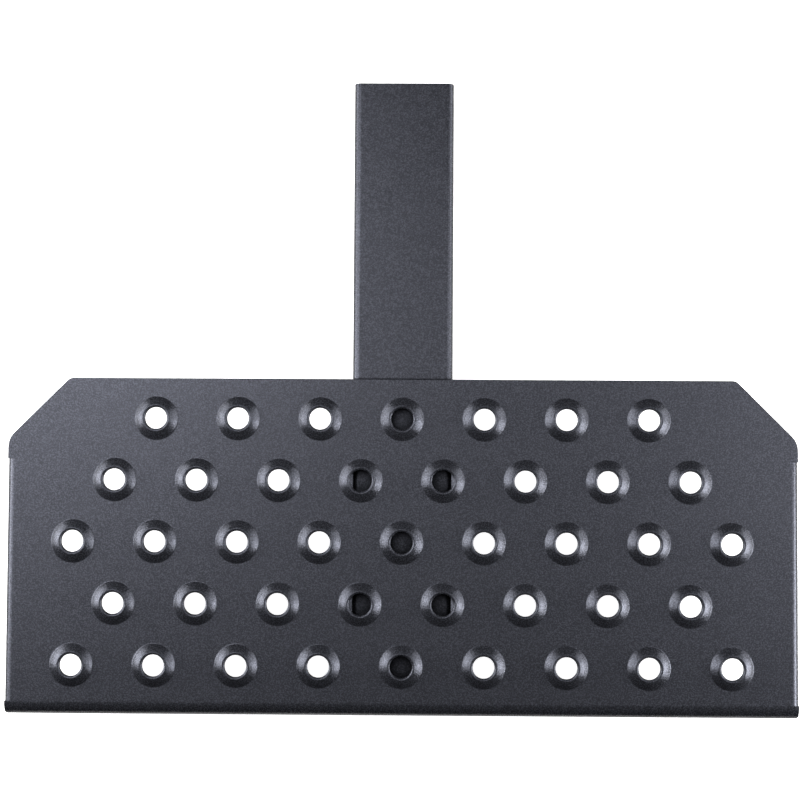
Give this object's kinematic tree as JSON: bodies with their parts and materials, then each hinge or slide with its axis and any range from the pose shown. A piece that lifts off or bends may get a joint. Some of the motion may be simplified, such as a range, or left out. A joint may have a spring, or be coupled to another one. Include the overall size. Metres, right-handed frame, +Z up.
{
  "type": "tailgate step",
  "caption": "Tailgate step for a hitch receiver: a folded sheet tread with raised anti-slip dimples, welded across a square shank tube that a cross pin holds.",
  "frame": {"origin": "centre of the hitch pin hole, on the shank tube's axis", "axes": "+Y along the shank towards the vehicle, +X across the step to the right along the pin hole, +Z up, so the tread is on the +Z side"},
  "size_m": [0.4, 0.3224, 0.057],
  "materials": {
    "powder_coat": "fine-textured charcoal-black powder coat on steel, satin",
    "coated_weld": "the same powder coat over a rippled weld bead"
  },
  "bodies": {
    "root": {"tread_plate": "powder_coat", "hitch_tube": "powder_coat", "gusset_left": "powder_coat", "gusset_right": "powder_coat", "weld_seam_left": "coated_weld", "weld_seam_right": "coated_weld", "weld_tube_front": "coated_weld", "weld_gusset_plate_left": "coated_weld", "weld_gusset_plate_right": "coated_weld", "weld_gusset_tube_left": "coated_weld", "weld_gusset_tube_right": "coated_weld"}
  },
  "joints": []
}
